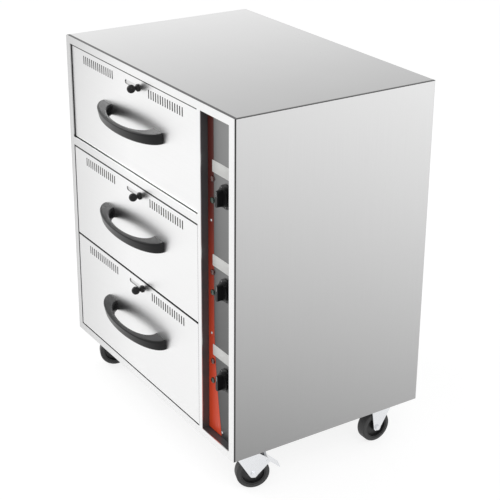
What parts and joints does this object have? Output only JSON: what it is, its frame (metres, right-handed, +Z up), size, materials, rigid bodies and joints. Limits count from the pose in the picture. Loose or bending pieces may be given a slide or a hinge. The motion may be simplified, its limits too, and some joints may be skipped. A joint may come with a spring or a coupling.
{
  "type": "drawer warmer",
  "caption": "Free-standing food warmer with stacked heated drawers beside a recessed control column, on swivel casters.",
  "frame": {"origin": "on the floor, under the middle of the whole object", "axes": "+Z up, the drawers face -Y and open along -Y, the control column is at +X"},
  "size_m": [0.74, 0.5628, 0.868],
  "materials": {
    "stainless": "fine brushed stainless sheet",
    "dark_steel": "brushed sheet in shadow",
    "galvanised": "plain galvanised sheet",
    "pan_steel": "satin pressed stainless",
    "zinc": "bright zinc plating",
    "element_steel": "dull heat-tinted sheath",
    "fascia_grey": "satin grey panel",
    "handle_black": "glossy moulded black",
    "black_plastic": "satin moulded black",
    "hub_plastic": "moulded black",
    "black_rubber": "smooth black rubber",
    "red_lens": "clear red lens",
    "green_lens": "clear green lens",
    "mineral_wool": "compressed mineral wool slab"
  },
  "bodies": {
    "cabinet": {"top_panel": "stainless", "left_side_panel": "stainless", "right_side_panel": "stainless", "rear_panel": "galvanised", "base_panel": "galvanised", "front_frame": "stainless", "control_recess": "dark_steel", "control_fascia": "fascia_grey", "fascia_screws": "zinc", "thermostats": "zinc", "red_lamps": "red_lens", "green_lamps": "green_lens", "heating_elements": "element_steel", "cavity_liner": "galvanised", "insulation": "mineral_wool", "outer_rails": "zinc", "cable_gland": "black_plastic", "caster_plates": "zinc", "caster_bolts": "zinc"},
    "drawer_upper": {"drawer_front_upper": "stainless", "carriage_upper": "galvanised", "pan_upper": "pan_steel", "handle_upper": "handle_black", "inner_rails_upper": "zinc"},
    "mid_rail_pair_upper": {"mid_rails_upper": "zinc"},
    "vent_upper": {"vent_plate_upper": "dark_steel", "vent_knob_upper": "black_plastic"},
    "control_upper": {"knob_upper": "black_plastic"},
    "drawer_middle": {"drawer_front_middle": "stainless", "carriage_middle": "galvanised", "pan_middle": "pan_steel", "handle_middle": "handle_black", "inner_rails_middle": "zinc"},
    "mid_rail_pair_middle": {"mid_rails_middle": "zinc"},
    "vent_middle": {"vent_plate_middle": "dark_steel", "vent_knob_middle": "black_plastic"},
    "control_middle": {"knob_middle": "black_plastic"},
    "drawer_lower": {"drawer_front_lower": "stainless", "carriage_lower": "galvanised", "pan_lower": "pan_steel", "handle_lower": "handle_black", "inner_rails_lower": "zinc"},
    "mid_rail_pair_lower": {"mid_rails_lower": "zinc"},
    "vent_lower": {"vent_plate_lower": "dark_steel", "vent_knob_lower": "black_plastic"},
    "control_lower": {"knob_lower": "black_plastic"},
    "swivel_front_left": {"fork_front_left": "zinc"},
    "wheel_front_left": {"tyre_front_left": "black_rubber", "hub_front_left": "hub_plastic"},
    "brake_front_left": {"brake_pedal_front_left": "zinc"},
    "swivel_front_right": {"fork_front_right": "zinc"},
    "wheel_front_right": {"tyre_front_right": "black_rubber", "hub_front_right": "hub_plastic"},
    "brake_front_right": {"brake_pedal_front_right": "zinc"},
    "swivel_rear_left": {"fork_rear_left": "zinc"},
    "wheel_rear_left": {"tyre_rear_left": "black_rubber", "hub_rear_left": "hub_plastic"},
    "swivel_rear_right": {"fork_rear_right": "zinc"},
    "wheel_rear_right": {"tyre_rear_right": "black_rubber", "hub_rear_right": "hub_plastic"}
  },
  "joints": [
    {"name": "drawer_slide_upper", "type": "slide", "parent": "cabinet", "child": "drawer_upper", "axis": [0, -1, 0], "range_m": [0, 0.38]},
    {"name": "mid_rail_slide_upper", "type": "slide", "parent": "cabinet", "child": "mid_rail_pair_upper", "axis": [0, -1, 0], "range_m": [0, 0.19]},
    {"name": "vent_slide_upper", "type": "slide", "parent": "drawer_upper", "child": "vent_upper", "axis": [-1, 0, 0], "range_m": [0, 0.05588]},
    {"name": "thermostat_turn_upper", "type": "hinge", "parent": "cabinet", "child": "control_upper", "pos_m": [0.316, -0.21862, 0.687], "axis": [0, 1, 0], "range_deg": [0, 300]},
    {"name": "drawer_slide_middle", "type": "slide", "parent": "cabinet", "child": "drawer_middle", "axis": [0, -1, 0], "range_m": [0, 0.38]},
    {"name": "mid_rail_slide_middle", "type": "slide", "parent": "cabinet", "child": "mid_rail_pair_middle", "axis": [0, -1, 0], "range_m": [0, 0.19]},
    {"name": "vent_slide_middle", "type": "slide", "parent": "drawer_middle", "child": "vent_middle", "axis": [-1, 0, 0], "range_m": [0, 0.05588]},
    {"name": "thermostat_turn_middle", "type": "hinge", "parent": "cabinet", "child": "control_middle", "pos_m": [0.316, -0.21862, 0.479], "axis": [0, 1, 0], "range_deg": [0, 300]},
    {"name": "drawer_slide_lower", "type": "slide", "parent": "cabinet", "child": "drawer_lower", "axis": [0, -1, 0], "range_m": [0, 0.38]},
    {"name": "mid_rail_slide_lower", "type": "slide", "parent": "cabinet", "child": "mid_rail_pair_lower", "axis": [0, -1, 0], "range_m": [0, 0.19]},
    {"name": "vent_slide_lower", "type": "slide", "parent": "drawer_lower", "child": "vent_lower", "axis": [-1, 0, 0], "range_m": [0, 0.05588]},
    {"name": "thermostat_turn_lower", "type": "hinge", "parent": "cabinet", "child": "control_lower", "pos_m": [0.316, -0.21862, 0.269], "axis": [0, 1, 0], "range_deg": [0, 300]},
    {"name": "caster_swivel_front_left", "type": "hinge", "parent": "cabinet", "child": "swivel_front_left", "pos_m": [-0.327, -0.19062, 0.091], "axis": [0, 0, 1], "continuous": true},
    {"name": "wheel_roll_front_left", "type": "hinge", "parent": "swivel_front_left", "child": "wheel_front_left", "pos_m": [-0.31811, -0.16619, 0.0375], "axis": [-0.9397, 0.342, 0], "continuous": true},
    {"name": "brake_press_front_left", "type": "hinge", "parent": "swivel_front_left", "child": "brake_front_left", "pos_m": [-0.30759, -0.13728, 0.06826], "axis": [-0.9397, 0.342, 0], "range_deg": [0, 12]},
    {"name": "caster_swivel_front_right", "type": "hinge", "parent": "cabinet", "child": "swivel_front_right", "pos_m": [0.327, -0.19062, 0.091], "axis": [0, 0, 1], "continuous": true},
    {"name": "wheel_roll_front_right", "type": "hinge", "parent": "swivel_front_right", "child": "wheel_front_right", "pos_m": [0.33589, -0.16619, 0.0375], "axis": [-0.9397, 0.342, 0], "continuous": true},
    {"name": "brake_press_front_right", "type": "hinge", "parent": "swivel_front_right", "child": "brake_front_right", "pos_m": [0.34641, -0.13728, 0.06826], "axis": [-0.9397, 0.342, 0], "range_deg": [0, 12]},
    {"name": "caster_swivel_rear_left", "type": "hinge", "parent": "cabinet", "child": "swivel_rear_left", "pos_m": [-0.327, 0.20138, 0.091], "axis": [0, 0, 1], "continuous": true},
    {"name": "wheel_roll_rear_left", "type": "hinge", "parent": "swivel_rear_left", "child": "wheel_rear_left", "pos_m": [-0.327, 0.17538, 0.0375], "axis": [1, 0, 0], "continuous": true},
    {"name": "caster_swivel_rear_right", "type": "hinge", "parent": "cabinet", "child": "swivel_rear_right", "pos_m": [0.327, 0.20138, 0.091], "axis": [0, 0, 1], "continuous": true},
    {"name": "wheel_roll_rear_right", "type": "hinge", "parent": "swivel_rear_right", "child": "wheel_rear_right", "pos_m": [0.327, 0.17538, 0.0375], "axis": [1, 0, 0], "continuous": true}
  ],
  "couplings": [
    {"joint": "mid_rail_slide_upper", "follows": "drawer_slide_upper", "ratio": 0.5},
    {"joint": "mid_rail_slide_middle", "follows": "drawer_slide_middle", "ratio": 0.5},
    {"joint": "mid_rail_slide_lower", "follows": "drawer_slide_lower", "ratio": 0.5}
  ]
}
